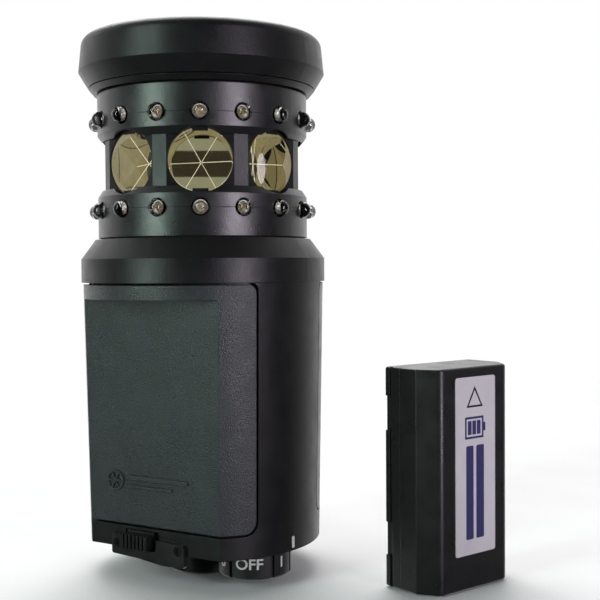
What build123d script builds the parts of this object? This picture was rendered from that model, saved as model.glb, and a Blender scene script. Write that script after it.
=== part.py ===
from build123d import *
from math import cos, radians, degrees, sin, sqrt
import os

# An active survey target: a ring of eight corner-cube prisms between two rings
# of light-emitting diodes, on a battery body with a pole socket under it, and
# its battery pack, which stands beside it.
# Millimetres, +Z up. The origin is the centre of the pole socket's mouth, the
# battery door's flat faces -Y, and azimuths count from -Y towards +X.

os.makedirs("parts", exist_ok=True)

# ---- heights, each one piece of the stack above the ground ----
socket_drop = 11.0
covers_height = 87.0
band_height = 7.75
shoulder_height = 6.55
seal_thickness = 0.5
led_housing_height = 9.0
led_cover_wall = 4.5
bevel_height = 2.4
window_height = 16.0
collar_height = 2.0
cap_flare_height = 5.2
cap_side_height = 11.8

# ---- outside radii ----
foot_radius = 39.1
covers_top_radius = 40.8
band_radius = 41.4
shoulder_radius = 36.6
ring_radius = 35.5
bevel_radius = 34.05
collar_radius = 36.7
collar_top_radius = 38.2
cap_radius = 41.6
cap_top_radius = 40.4
cap_edge_rounding = 3.5

# ---- body ----
flat_distance = 29.0
flat_distance_top = 30.45
cavity_radius = 33.9
front_wall = 2.0
deck_thickness = 2.4
lip_height = 4.7

# ---- battery door, rear cover and their seats ----
door_lift = 7.9
door_half_angle = 59.5
door_wall = 1.8
door_seat_depth = 3.0
door_gap = 0.75
door_top_gap = 0.7
door_corner_low = 4.0
door_corner_high = 2.6
door_seal_thickness = 0.9
door_seal_width = 2.0
rear_cover_start = 106.5
rear_cover_lift = 9.5
rear_cover_wall = 1.8
rear_cover_gap = 0.45
rear_screw_recess = 2.2
cover_seat_gap = 0.1

# ---- door hinge ----
hinge_azimuth = -61.8
hinge_distance = 38.6
hinge_groove_radius = 3.4
knuckle_radius = 1.6
hinge_pin_radius = 0.8
hinge_running_gap = 0.06
knuckle_side_gap = 0.3
door_knuckle_length = 8.0
door_knuckle_lifts = (19.0, 43.0, 67.0)
hinge_pin_lift = 10.5
hinge_pin_length = 73.0

# ---- battery pack and its bay ----
battery_width = 39.4
battery_depth = 20.6
battery_height = 70.8
battery_case_wall = 1.2
battery_bevel_across = 4.6
battery_bevel_deep = 6.6
battery_seam = 3.4
battery_rail = 2.3
battery_notches = ((10.2, 20.9), (50.4, 61.5))
label_width = 18.6
label_height = 56.6
label_thickness = 0.27
label_gap = 0.2
label_shift = 0.4
label_middle = 39.4
battery_centre = (81.67, 22.57)
battery_turn = 70.0
cell_radius = 8.85
cell_length = 65.0
bay_clearance = 0.8
bay_wall = 1.4
bay_lift = 11.0
bay_battery_setback = 1.5

# ---- base, pole socket, selector ----
base_thickness = 3.0
base_ledge = 2.2
base_fit = 0.1
base_screw_azimuths = (50, 130, 230, 310)
base_screw_distance = 31.6
base_boss_radius = 2.9
base_boss_height = 6.0
socket_radius = 13.1
socket_flange_radius = 17.2
socket_flange = 3.0
socket_bore_radius = 6.75
socket_bore_depth = 16.0
socket_crown = 2.5
knob_azimuth = 74.0
knob_socket_gap = 0.5
knob_radius = 12.0
knob_height = 7.7
knob_floor_gap = 3.0
knob_off_azimuth = 27.5
index_azimuth = 81.4
index_width = 1.2
index_height = 3.8
index_rounding = 0.4
index_lift = 2.8
index_depth = 0.5
knob_notch_width = 1.3
knob_notch_depth = 1.1
knob_positions = 7
off_lobe_half_angle = 34.5
switch_shaft_radius = 3.0
shaft_running_gap = 0.05
switch_size = 13.6
switch_height = 6.5

# ---- latch ----
latch_plate_thickness = 1.6
latch_plate_left = -16.2
latch_plate_right = 13.2
latch_plate_top = 15.6
latch_plate_low_left = 9.0
latch_plate_low_right = 7.3
latch_slot_left = -11.4
latch_button_width = 10.8
latch_button_height = 4.6
latch_button_low = 11.6
latch_button_proud = 1.9
latch_travel = 2.0
latch_gap = 0.3
latch_bolt_thickness = 1.2
latch_bolt_rise = 0.7
latch_screw_length = 2.8
latch_screw_inset = 2.4
latch_screw_height = 12.5
latch_ribs = 6

# ---- head: rings of diodes and prisms ----
prism_count = 8
diode_count = 16
first_prism_azimuth = 34.5
face_distance = 32.0
pillar_distance = 33.64
cage_wall = 3.0
cage_margin = 1.5
glass_radius = 10.2
glass_fit = 0.1
glass_setback = 0.4
glass_rim = 0.8
clip_width = 5.0
clip_thickness = 0.8
clip_overlap = 1.3
skirt_radius = 28.6
skirt_wall = 2.0
ring_wall = 2.5
ring_floor = 2.0
ring_centre_hole = 8.0
diode_radius = 2.5
diode_flange_lip = 0.35
diode_hole_gap = 0.05
diode_tip = 38.7
diode_length = 8.6
lead_size = 0.5
lead_spacing = 2.54
board_thickness = 1.6
board_drop = 3.6
board_inner_radius = 29.2
board_ledge = 2.0
centre_tube_radius = 6.0
centre_tube_wall = 1.5
tie_rod_radius = 1.5
tie_rod_distance = 12.5
tie_nut_radius = 3.0
tie_nut_height = 2.4
cap_wall = 2.2
cap_screw_distance = 29.0
cap_boss_radius = 3.0

# ---- heights worked out from the stack ----
body_z = socket_drop
aperture_radius = glass_radius + glass_fit
diode_flange_radius = diode_radius + diode_flange_lip
diode_hole_radius = diode_flange_radius + diode_hole_gap
knob_distance = socket_radius + knob_socket_gap + knob_radius
covers_top_z = body_z + covers_height
band_top_z = covers_top_z + band_height
shoulder_z = band_top_z + shoulder_height
ring_z = shoulder_z + seal_thickness
seam_z = ring_z + led_housing_height
bevel_z = seam_z + led_cover_wall
window_z = bevel_z + bevel_height
prism_z = window_z + window_height / 2
head_top_z = 2 * prism_z - ring_z
collar_z = head_top_z + seal_thickness
cap_z = collar_z + collar_height
cap_wide_z = cap_z + cap_flare_height
cap_top_z = cap_wide_z + cap_side_height
door_z = body_z + door_lift
door_top_z = covers_top_z - door_top_gap
lip_z = door_top_z - lip_height
rear_cover_z = body_z + rear_cover_lift
base_top_z = body_z + base_thickness
bay_z = body_z + bay_lift
draft = (covers_top_radius - foot_radius) / covers_height
flat_draft = (flat_distance_top - flat_distance) / covers_height
cavity_front = flat_distance - door_seat_depth - front_wall
far = 200.0
wedge_start = 22.0


def body_radius(height):
    """Radius of the drafted body at a height above the ground."""
    return foot_radius + draft * (height - body_z)


def flat_at(height):
    """Distance of the door's flat from the axis at a height."""
    return flat_distance + flat_draft * (height - body_z)


def direction(azimuth):
    """Outward unit vector, with azimuth 0 along -Y and 90 along +X."""
    return Vector(sin(radians(azimuth)), -cos(radians(azimuth)), 0)


def radial_plane(azimuth, distance, height):
    """Plane facing outward, local x level and local y up."""
    outward = direction(azimuth)
    level = (cos(radians(azimuth)), sin(radians(azimuth)), 0)
    return Plane(outward * distance + Vector(0, 0, height), x_dir=level, z_dir=outward)


def turned(points):
    """Solid of revolution about Z of an outline given as (radius, height)."""
    with BuildPart() as form:
        with BuildSketch(Plane.XZ):
            with BuildLine():
                Polyline(points, close=True)
            make_face()
        revolve(axis=Axis.Z)
    return form.part


def barrel(inset, low, high):
    """The body's drafted barrel, moved in by inset."""
    return turned([(0, low), (body_radius(low) - inset, low),
                   (body_radius(high) - inset, high), (0, high)])


def in_front(inset, low, high):
    """Everything in front of the body's flat, moved in by inset."""
    with BuildPart() as form:
        with BuildSketch(Plane.YZ):
            with BuildLine():
                Polyline((inset - flat_at(low), low), (inset - flat_at(high), high),
                         (-far / 2, high), (-far / 2, low), close=True)
            make_face()
        extrude(amount=far / 2, both=True)
    return form.part


def wedge(middle, half_angle, low, high, corner_low, corner_high):
    """Slice of the body between two azimuths, with rounded corners."""
    sides = (middle - half_angle, middle + half_angle)
    inner = [direction(side) * wedge_start for side in sides]
    outer = [direction(side) * far for side in sides]
    crest = direction(middle) * (far / cos(radians(half_angle)))
    with BuildPart() as form:
        with BuildSketch(Plane.XY.offset(low)):
            with BuildLine():
                Polyline(inner[0], outer[0], crest, outer[1], inner[1], close=True)
            make_face()
        extrude(amount=high - low)
        slanted = [edge for edge in form.edges().filter_by(Plane.XY)
                   if abs(edge.length - (far - wedge_start)) < 1]
        fillet([edge for edge in slanted if edge.center().Z < (low + high) / 2], corner_low)
        fillet([edge for edge in slanted if edge.center().Z > (low + high) / 2], corner_high)
    return form.part


def door_core(inset, low, high):
    """What is left inside the door's flat and flanks, moved in by inset."""
    with BuildPart() as form:
        add(barrel(inset, low, high))
        add(in_front(inset, low, high), mode=Mode.SUBTRACT)
    return form.part


# ---- battery door ----
door_edges = wedge(0, door_half_angle, door_z, door_top_z, door_corner_low, door_corner_high)
hinge_plane = radial_plane(hinge_azimuth, hinge_distance, 0)
hinge_at = hinge_plane.origin
hinge_frame = Plane((hinge_at.X, hinge_at.Y, 0), x_dir=hinge_plane.x_dir, z_dir=(0, 0, 1))


def hinge_cylinder(radius, lift, length):
    """Cylinder on the hinge axis, standing at a height above the body's foot."""
    with BuildPart() as form:
        with BuildSketch(hinge_frame.offset(body_z + lift)):
            Circle(radius)
        extrude(amount=length)
    return form.part


with BuildPart() as battery_door:
    add(barrel(0, door_z, door_top_z))
    add(in_front(0, door_z - 1, lip_z), mode=Mode.SUBTRACT)
    add(door_core(door_wall, door_z - 1, door_top_z + 1), mode=Mode.SUBTRACT)
    add(barrel(door_wall, lip_z + door_wall, door_top_z - door_wall), mode=Mode.SUBTRACT)
    add(door_edges, mode=Mode.INTERSECT)
    add(hinge_cylinder(knuckle_radius + knuckle_side_gap, 0, covers_height), mode=Mode.SUBTRACT)
    for lift in door_knuckle_lifts:
        add(hinge_cylinder(knuckle_radius, lift, door_knuckle_length))
        with BuildSketch(hinge_frame.offset(body_z + lift)):
            with Locations((0, -0.2)):
                Rectangle(3.4, 1.6, align=(Align.MIN, Align.CENTER))
        extrude(amount=door_knuckle_length)
    add(hinge_cylinder(hinge_pin_radius + hinge_running_gap, 0, covers_height),
        mode=Mode.SUBTRACT)
battery_door.part.label = "battery_door"

with BuildPart() as door_hinge_pin:
    add(hinge_cylinder(hinge_pin_radius, hinge_pin_lift, hinge_pin_length))
door_hinge_pin.part.label = "door_hinge_pin"

bay_half_width = battery_width / 2 + bay_clearance
bay_height = battery_height + 2 * bay_clearance
bay_middle_z = bay_z + bay_height / 2

with BuildPart() as door_seal:
    add(in_front(door_wall + door_seal_thickness, door_z, door_top_z))
    add(in_front(door_wall, door_z - 1, door_top_z + 1), mode=Mode.SUBTRACT)
    with BuildSketch(Plane.XZ.offset(flat_distance)) as seal_outline:
        with Locations((0, bay_middle_z)):
            RectangleRounded(2 * bay_half_width + 2 * door_seal_width,
                             bay_height + 2 * door_seal_width, 3)
            RectangleRounded(2 * bay_half_width, bay_height, 1, mode=Mode.SUBTRACT)
    extrude(amount=10, both=True, mode=Mode.INTERSECT)
door_seal.part.label = "door_seal"

# ---- main housing ----
housing_outline = [
    (0, body_z), (foot_radius, body_z), (covers_top_radius, covers_top_z),
    (band_radius, covers_top_z), (band_radius, band_top_z),
    (shoulder_radius, shoulder_z), (0, shoulder_z),
]
cavity_top_z = shoulder_z - deck_thickness
cavity_outline = [
    (0, base_top_z), (cavity_radius, base_top_z), (cavity_radius, band_top_z - 4),
    (shoulder_radius - 4, cavity_top_z), (0, cavity_top_z),
]
base_radius = foot_radius - base_ledge
housing_knuckles = []
knuckle_start = hinge_pin_lift
for lift in door_knuckle_lifts:
    housing_knuckles.append((knuckle_start, lift - knuckle_side_gap - knuckle_start))
    knuckle_start = lift + door_knuckle_length + knuckle_side_gap
housing_knuckles.append((knuckle_start, hinge_pin_lift + hinge_pin_length - knuckle_start))
rear_middle = 180
index_plane = radial_plane(index_azimuth, foot_radius - index_depth, body_z + index_lift)
rear_half_angle = 180 - rear_cover_start
knob_at = direction(knob_azimuth) * knob_distance
latch_button_z = latch_button_low + latch_button_height / 2
latch_button_x = latch_slot_left + latch_gap + latch_button_width / 2
latch_slot_width = latch_button_width + latch_travel + 2 * latch_gap
latch_slot_middle = latch_slot_left + latch_slot_width / 2
latch_bolt_low = latch_button_low + 0.2
latch_bolt_height = latch_button_height + latch_bolt_rise - 0.2
latch_screw_places = [(latch_plate_left + latch_screw_inset, latch_screw_height),
                      (latch_plate_right - latch_screw_inset, latch_screw_height)]
plate_distance = flat_at(latch_plate_top)
plate_plane = Plane.XZ.offset(plate_distance)

with BuildPart() as door_recess:
    add(wedge(0, door_half_angle + degrees(door_gap / foot_radius), door_z - door_gap,
              covers_top_z, door_corner_low + door_gap, door_corner_high))
    add(door_core(door_seat_depth, door_z - 5, covers_top_z + 5), mode=Mode.SUBTRACT)

with BuildPart() as rear_recess:
    add(wedge(rear_middle, rear_half_angle + degrees(rear_cover_gap / foot_radius),
              rear_cover_z - rear_cover_gap, covers_top_z, 4, 2.6))
    add(barrel(rear_cover_wall + cover_seat_gap, rear_cover_z - 5, covers_top_z + 5),
        mode=Mode.SUBTRACT)

with BuildPart() as housing_cavity:
    add(turned(cavity_outline))
    add(turned([(0, body_z - 1), (base_radius, body_z - 1), (base_radius, base_top_z),
                (0, base_top_z)]))
    with BuildSketch(Plane.XY.offset(base_top_z)):
        with Locations((0, -cavity_front)):
            Rectangle(far, far, align=(Align.CENTER, Align.MAX))
    extrude(amount=covers_top_z - base_top_z, mode=Mode.SUBTRACT)
    with BuildSketch(Plane.XY.offset(body_z - 1)):
        with Locations((0, base_ledge - flat_distance)):
            Rectangle(far, far, align=(Align.CENTER, Align.MAX))
    extrude(amount=base_thickness + 1, mode=Mode.SUBTRACT)

with BuildPart() as main_housing:
    add(turned(housing_outline))
    add(in_front(0, body_z - 1, door_z), mode=Mode.SUBTRACT)
    add(door_recess.part, mode=Mode.SUBTRACT)
    add(rear_recess.part, mode=Mode.SUBTRACT)
    add(housing_cavity.part, mode=Mode.SUBTRACT)
    add(hinge_cylinder(hinge_groove_radius, door_lift - door_gap,
                       covers_height - door_lift + door_gap), mode=Mode.SUBTRACT)
    for lift, length in housing_knuckles:
        add(hinge_cylinder(knuckle_radius, lift, length))
        with BuildSketch(hinge_frame.offset(body_z + lift)):
            Rectangle(2.2, hinge_groove_radius + 0.4, align=(Align.CENTER, Align.MIN))
        extrude(amount=length)
    add(hinge_cylinder(hinge_pin_radius, hinge_pin_lift, hinge_pin_length), mode=Mode.SUBTRACT)
    # mouth of the battery bay
    with BuildSketch(Plane.XZ.offset(cavity_front - 1)):
        with Locations((0, bay_middle_z)):
            RectangleRounded(2 * bay_half_width, bay_height, 0.8)
    extrude(amount=far / 4, mode=Mode.SUBTRACT)
    # bosses for the base screws
    with BuildSketch(Plane.XY.offset(base_top_z)):
        for azimuth in base_screw_azimuths:
            with Locations(direction(azimuth) * base_screw_distance):
                Circle(base_boss_radius)
    extrude(amount=base_boss_height)
    with BuildSketch(Plane.XY.offset(base_top_z)):
        for azimuth in base_screw_azimuths:
            with Locations(direction(azimuth) * base_screw_distance):
                Circle(1.25)
    extrude(amount=base_boss_height - 1, mode=Mode.SUBTRACT)
    # holes in the deck for the centre tube and the tie rods
    with BuildSketch(Plane.XY.offset(cavity_top_z)):
        Circle(centre_tube_radius)
        with PolarLocations(tie_rod_distance, 4, start_angle=45):
            Circle(tie_rod_radius)
    extrude(amount=deck_thickness + 1, mode=Mode.SUBTRACT)
    # pocket for the latch bolt, its screw holes and the index mark
    with BuildSketch(plate_plane.offset(-latch_bolt_thickness - 2 * latch_gap)):
        with Locations((latch_slot_middle, latch_bolt_low - latch_gap)):
            Rectangle(latch_slot_width + 2 * latch_gap, latch_bolt_height + 2 * latch_gap,
                      align=(Align.CENTER, Align.MIN))
    extrude(amount=far / 4, mode=Mode.SUBTRACT)
    with BuildSketch(plate_plane.offset(-base_ledge)):
        with Locations(*latch_screw_places):
            Circle(0.75)
    extrude(amount=far / 4, mode=Mode.SUBTRACT)
    with BuildSketch(index_plane):
        Rectangle(index_width, index_height)
    extrude(amount=5, mode=Mode.SUBTRACT)
main_housing.part.label = "main_housing"

with BuildPart() as index_mark:
    with BuildSketch(index_plane):
        RectangleRounded(index_width, index_height, index_rounding)
    extrude(amount=0.65)
index_mark.part.label = "index_mark"

# ---- rear cover and its screws ----
rear_screws = [(azimuth, height) for azimuth in (125, 235)
               for height in (rear_cover_z + 7, covers_top_z - 8)]
with BuildPart() as rear_cover:
    add(barrel(0, rear_cover_z, covers_top_z - rear_cover_gap))
    add(barrel(rear_cover_wall, rear_cover_z - 1, covers_top_z), mode=Mode.SUBTRACT)
    add(wedge(rear_middle, rear_half_angle, rear_cover_z, covers_top_z - rear_cover_gap, 4, 2.6),
        mode=Mode.INTERSECT)
    for azimuth, height in rear_screws:
        with BuildSketch(radial_plane(azimuth, body_radius(height) - 0.8, height)):
            Circle(rear_screw_recess)
        extrude(amount=3, mode=Mode.SUBTRACT)
rear_cover.part.label = "rear_cover"

with BuildPart() as rear_cover_screws:
    for azimuth, height in rear_screws:
        with BuildSketch(radial_plane(azimuth, body_radius(height) - 0.8, height)):
            Circle(2.1)
        extrude(amount=0.6)
        with BuildSketch(radial_plane(azimuth, body_radius(height) - 0.2, height)):
            Rectangle(2.4, 0.5)
            Rectangle(0.5, 2.4)
        extrude(amount=-0.4, mode=Mode.SUBTRACT)
rear_cover_screws.part.label = "rear_cover_screws"

# ---- base plate, pole socket ----
with BuildPart() as base_plate:
    with BuildSketch(Plane.XY.offset(body_z)):
        Circle(base_radius - base_fit)
        with Locations((0, base_ledge + base_fit - flat_distance)):
            Rectangle(far, far, align=(Align.CENTER, Align.MAX), mode=Mode.SUBTRACT)
        Circle(socket_radius, mode=Mode.SUBTRACT)
        with Locations(knob_at):
            Circle(switch_shaft_radius + 0.5, mode=Mode.SUBTRACT)
    extrude(amount=base_thickness)
    for azimuth in base_screw_azimuths:
        with Locations(Plane(direction(azimuth) * base_screw_distance + Vector(0, 0, body_z),
                             z_dir=(0, 0, -1))):
            CounterBoreHole(1.25, 2.4, 1.4)
base_plate.part.label = "base_plate"

with BuildPart() as base_screws:
    for azimuth in base_screw_azimuths:
        place = direction(azimuth) * base_screw_distance
        with BuildSketch(Plane.XY.offset(body_z + 0.2)):
            with Locations(place):
                Circle(2.3)
        extrude(amount=1.2)
        with BuildSketch(Plane.XY.offset(body_z + 1.4)):
            with Locations(place):
                Circle(1.2)
        extrude(amount=base_thickness + base_boss_height - 3)
        with BuildSketch(Plane.XY.offset(body_z + 0.2)):
            with Locations(place):
                RegularPolygon(1.2, 6)
        extrude(amount=0.8, mode=Mode.SUBTRACT)
base_screws.part.label = "base_screws"

socket_top_z = socket_bore_depth + socket_crown
with BuildPart() as pole_socket:
    add(turned([(socket_bore_radius, 0), (socket_radius - 0.6, 0), (socket_radius, 0.6),
                (socket_radius, base_top_z), (socket_flange_radius, base_top_z),
                (socket_flange_radius, base_top_z + socket_flange),
                (socket_radius - 1, base_top_z + socket_flange),
                (socket_radius - 1, socket_top_z), (0, socket_top_z), (0, socket_bore_depth),
                (socket_bore_radius, socket_bore_depth)]))
pole_socket.part.label = "pole_socket"

# ---- selector knob and rotary switch ----
number_step = 360 / knob_positions
notch_azimuths = [off_lobe_half_angle, -off_lobe_half_angle]
notch_azimuths += [number_step * (place + 0.5) for place in range(1, knob_positions - 1)]
knob_frame = Plane((knob_at.X, knob_at.Y, knob_floor_gap),
                   x_dir=direction(knob_off_azimuth), z_dir=(0, 0, 1))
with BuildPart() as selector_knob:
    with BuildSketch(knob_frame):
        Circle(knob_radius)
    extrude(amount=knob_height)
    chamfer(selector_knob.edges().group_by(Axis.Z)[0], 0.6)
    with BuildSketch(knob_frame):
        for azimuth in notch_azimuths:
            with Locations(Location((knob_radius * cos(radians(azimuth)),
                                     knob_radius * sin(radians(azimuth))), azimuth)):
                Rectangle(2 * knob_notch_depth, knob_notch_width)
    extrude(amount=knob_height, mode=Mode.SUBTRACT)
    with BuildSketch(knob_frame):
        Circle(3.4)
    extrude(amount=2.2, mode=Mode.SUBTRACT)
    with BuildSketch(knob_frame.offset(2.2)):
        Circle(1.3)
    extrude(amount=2, mode=Mode.SUBTRACT)
    with BuildSketch(knob_frame.offset(3.2)):
        Circle(switch_shaft_radius)
    extrude(amount=knob_height, mode=Mode.SUBTRACT)
selector_knob.part.label = "selector_knob"

shaft_z = knob_floor_gap + 3.2
switch_top_z = base_top_z + switch_height
switch_frame = Plane((knob_at.X, knob_at.Y, base_top_z), x_dir=direction(knob_azimuth),
                     z_dir=(0, 0, 1))
with BuildPart() as switch_shaft:
    with BuildSketch(Plane((knob_at.X, knob_at.Y, shaft_z))):
        Circle(switch_shaft_radius)
    extrude(amount=switch_top_z - 1.5 - shaft_z)
    with BuildSketch(Plane((knob_at.X, knob_at.Y, shaft_z))):
        Circle(1.1)
    extrude(amount=3.5, mode=Mode.SUBTRACT)
switch_shaft.part.label = "switch_shaft"

with BuildPart() as knob_screw:
    with BuildSketch(knob_frame.offset(0.5)):
        Circle(2.6)
    extrude(amount=1.7)
    with BuildSketch(knob_frame.offset(2.2)):
        Circle(1.05)
    extrude(amount=4)
    with BuildSketch(knob_frame.offset(0.5)):
        Rectangle(3.4, 0.6)
        Rectangle(0.6, 3.4)
    extrude(amount=0.9, mode=Mode.SUBTRACT)
knob_screw.part.label = "knob_screw"

with BuildPart() as rotary_switch:
    with BuildSketch(switch_frame):
        RectangleRounded(switch_size, switch_size, 1)
    extrude(amount=switch_height)
    with BuildSketch(switch_frame):
        Circle(switch_shaft_radius + shaft_running_gap)
    extrude(amount=switch_height - 1, mode=Mode.SUBTRACT)
rotary_switch.part.label = "rotary_switch"

# ---- latch ----
with BuildPart() as latch_plate:
    with BuildSketch(plate_plane):
        with BuildLine():
            Polyline((latch_plate_left, latch_plate_low_left), (-5, latch_plate_low_left - 0.6),
                     (4, latch_plate_low_right), (latch_plate_right, latch_plate_low_right),
                     (latch_plate_right, latch_plate_top - 1),
                     (latch_plate_left, latch_plate_top), close=True)
        make_face()
        fillet(vertices(), 0.8)
        with Locations((latch_slot_middle, latch_button_z)):
            RectangleRounded(latch_slot_width, latch_button_height + 2 * latch_gap, 0.5,
                             mode=Mode.SUBTRACT)
    extrude(amount=latch_plate_thickness)
    for place in latch_screw_places:
        with BuildSketch(plate_plane):
            with Locations(place):
                Circle(0.9)
        extrude(amount=latch_plate_thickness, mode=Mode.SUBTRACT)
        with BuildSketch(plate_plane.offset(latch_plate_thickness - 0.8)):
            with Locations(place):
                Circle(1.6)
        extrude(amount=1, mode=Mode.SUBTRACT)
latch_plate.part.label = "latch_plate"

with BuildPart() as latch_screws:
    for place in latch_screw_places:
        with BuildSketch(plate_plane.offset(latch_plate_thickness - 0.8)):
            with Locations(place):
                Circle(1.5)
        extrude(amount=0.7)
        with BuildSketch(plate_plane.offset(latch_plate_thickness - 0.8)):
            with Locations(place):
                Circle(0.75)
        extrude(amount=-latch_screw_length)
        with BuildSketch(plate_plane.offset(latch_plate_thickness - 0.1)):
            with Locations(place):
                Rectangle(1.8, 0.4)
                Rectangle(0.4, 1.8)
        extrude(amount=-0.5, mode=Mode.SUBTRACT)
latch_screws.part.label = "latch_screws"

button_face = latch_plate_thickness + latch_button_proud
rib_pitch = (latch_button_width - 1.6) / latch_ribs
with BuildPart() as latch_slider:
    with BuildSketch(plate_plane):
        with Locations((latch_button_x, latch_button_z)):
            RectangleRounded(latch_button_width, latch_button_height, 0.4)
    extrude(amount=button_face)
    with BuildSketch(plate_plane.offset(button_face - 0.6)):
        with Locations((latch_button_x, latch_button_z)):
            with GridLocations(rib_pitch, 1, latch_ribs, 1):
                Rectangle(rib_pitch * 0.5, latch_button_height)
    extrude(amount=1, mode=Mode.SUBTRACT)
    with BuildSketch(plate_plane.offset(-latch_gap)):
        with Locations((latch_button_x, latch_bolt_low)):
            Rectangle(latch_button_width + latch_gap, latch_bolt_height,
                      align=(Align.CENTER, Align.MIN))
    extrude(amount=-latch_bolt_thickness)
    with BuildSketch(plate_plane.offset(-latch_gap)):
        with Locations((latch_button_x, latch_button_z)):
            Rectangle(latch_button_width - 1, latch_button_height - 1)
    extrude(amount=latch_gap)
latch_slider.part.label = "latch_slider"

# ---- battery bay, its contacts and the main board ----
bay_back = bay_battery_setback + battery_depth + 0.6 - flat_distance + door_seat_depth - 1
bay_bottom_z = bay_z - bay_wall
with BuildPart() as battery_bay:
    with BuildSketch(Plane.XY.offset(bay_bottom_z)):
        with Locations((0, -cavity_front)):
            Rectangle(2 * (bay_half_width + bay_wall), bay_back + bay_wall + cavity_front,
                      align=(Align.CENTER, Align.MIN))
    extrude(amount=bay_height + 2 * bay_wall)
    with BuildSketch(Plane.XY.offset(bay_z)):
        with Locations((0, -cavity_front)):
            Rectangle(2 * bay_half_width, bay_back + cavity_front,
                      align=(Align.CENTER, Align.MIN))
    extrude(amount=bay_height, mode=Mode.SUBTRACT)
    with BuildSketch(Plane.XZ.offset(-bay_back - bay_wall)):
        with Locations((0, bay_middle_z)):
            with GridLocations(46 - 8, bay_height - 14, 2, 2):
                Circle(2.2)
    extrude(amount=-3)
battery_bay.part.label = "battery_bay"

with BuildPart() as bay_contacts:
    with BuildSketch(Plane.XZ.offset(-bay_back)):
        with Locations((0, bay_z + 8)):
            with GridLocations(6, 1, 4, 1):
                RectangleRounded(3, 8, 0.6)
    extrude(amount=0.5)
bay_contacts.part.label = "bay_contacts"

board_back = bay_back + bay_wall + 3
with BuildPart() as main_board:
    with BuildSketch(Plane.XZ.offset(-board_back)):
        with Locations((0, bay_middle_z)):
            RectangleRounded(52, bay_height - 4, 2)
    extrude(amount=-board_thickness)
main_board.part.label = "main_board"

with BuildPart() as board_components:
    with BuildSketch(Plane.XZ.offset(-board_back - board_thickness)):
        with Locations((0, bay_middle_z)):
            Rectangle(14, 14)
        with Locations((-16, bay_middle_z + 18), (16, bay_middle_z - 18)):
            Rectangle(9, 6)
        with Locations((14, bay_middle_z + 20)):
            Rectangle(12, 5)
        with Locations((-15, bay_middle_z - 22), (-15, bay_middle_z - 10)):
            Circle(4)
    extrude(amount=-2.4)
board_components.part.label = "board_components"

# ---- head, lower half; the upper half is its mirror image ----
head_mirror = Plane.XY.offset(prism_z)
board_z = seam_z - board_drop - board_thickness


def radial_bores(radius, count, height, start, length):
    """Round bores for a ring, evenly spaced, the first over the first prism."""
    with BuildPart() as form:
        for number in range(count):
            azimuth = first_prism_azimuth + 360 * number / count
            with BuildSketch(radial_plane(azimuth, start, height)):
                Circle(radius)
            extrude(amount=length)
    return form.part


diode_bores = radial_bores(diode_hole_radius, diode_count, seam_z,
                           ring_radius - ring_wall - 1, 10)
aperture_bores = radial_bores(aperture_radius, prism_count, prism_z, 20, 30)

with BuildPart() as shoulder_seal:
    add(turned([(ring_centre_hole + 8, shoulder_z), (shoulder_radius - 2.2, shoulder_z),
                (shoulder_radius - 2.2, ring_z), (ring_centre_hole + 8, ring_z)]))
shoulder_seal.part.label = "shoulder_seal"

with BuildPart() as lower_led_housing:
    add(turned([(ring_centre_hole, ring_z), (ring_radius, ring_z), (ring_radius, seam_z),
                (ring_radius - ring_wall, seam_z), (ring_radius - ring_wall, board_z),
                (ring_radius - ring_wall - board_ledge, board_z),
                (ring_radius - ring_wall - board_ledge, ring_z + ring_floor),
                (ring_centre_hole, ring_z + ring_floor)]))
    add(diode_bores, mode=Mode.SUBTRACT)
    with BuildSketch(Plane.XY.offset(ring_z)):
        with PolarLocations(tie_rod_distance, 4, start_angle=45):
            Circle(tie_rod_radius)
    extrude(amount=ring_floor, mode=Mode.SUBTRACT)
lower_led_housing.part.label = "lower_led_housing"

with BuildPart() as lower_led_cover:
    add(turned([(bevel_radius, seam_z), (ring_radius, seam_z), (ring_radius, bevel_z),
                (bevel_radius + 0.1, window_z - 0.15), (bevel_radius, window_z - 0.15)]))
    add(diode_bores, mode=Mode.SUBTRACT)
    add(aperture_bores, mode=Mode.SUBTRACT)
lower_led_cover.part.label = "lower_led_cover"

with BuildPart() as lower_led_board:
    add(turned([(board_inner_radius, board_z), (ring_radius - ring_wall - 0.1, board_z),
                (ring_radius - ring_wall - 0.1, board_z + board_thickness),
                (board_inner_radius, board_z + board_thickness)]))
lower_led_board.part.label = "lower_led_board"

diode_dome_centre = diode_tip - diode_radius
diode_rear = diode_tip - diode_length
with BuildPart() as diode:
    with BuildSketch(Plane.XY) as diode_profile:
        with BuildLine():
            Polyline((0, diode_rear), (diode_flange_radius, diode_rear),
                     (diode_flange_radius, diode_rear + 1), (diode_radius, diode_rear + 1),
                     (diode_radius, diode_dome_centre))
            RadiusArc((diode_radius, diode_dome_centre), (0, diode_tip), -diode_radius)
            Line((0, diode_tip), (0, diode_rear))
        make_face()
    revolve(axis=Axis.Y)
    with BuildSketch(Plane.XZ.offset(-diode_rear - 0.1)):
        with Locations((-lead_spacing / 2, 0.5), (lead_spacing / 2, 0.5)):
            Rectangle(lead_size, board_drop + 0.5, align=(Align.CENTER, Align.MAX))
    extrude(amount=lead_size + 0.1)

with BuildPart() as lower_leds:
    for number in range(diode_count):
        azimuth = first_prism_azimuth + 360 * number / diode_count
        with Locations(Location((0, 0, seam_z), (0, 0, 1), azimuth + 180)):
            add(diode.part)
lower_leds.part.label = "lower_leds"

clip_top_z = bevel_z - 1.4
clip_edge_z = prism_z - aperture_radius + clip_overlap
with BuildPart() as lower_prism_clips:
    for number in range(prism_count):
        azimuth = first_prism_azimuth + 360 * number / prism_count
        with BuildSketch(radial_plane(azimuth, face_distance, clip_top_z)):
            Rectangle(clip_width, clip_edge_z - clip_top_z, align=(Align.CENTER, Align.MIN))
        extrude(amount=clip_thickness)
lower_prism_clips.part.label = "lower_prism_clips"

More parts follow.
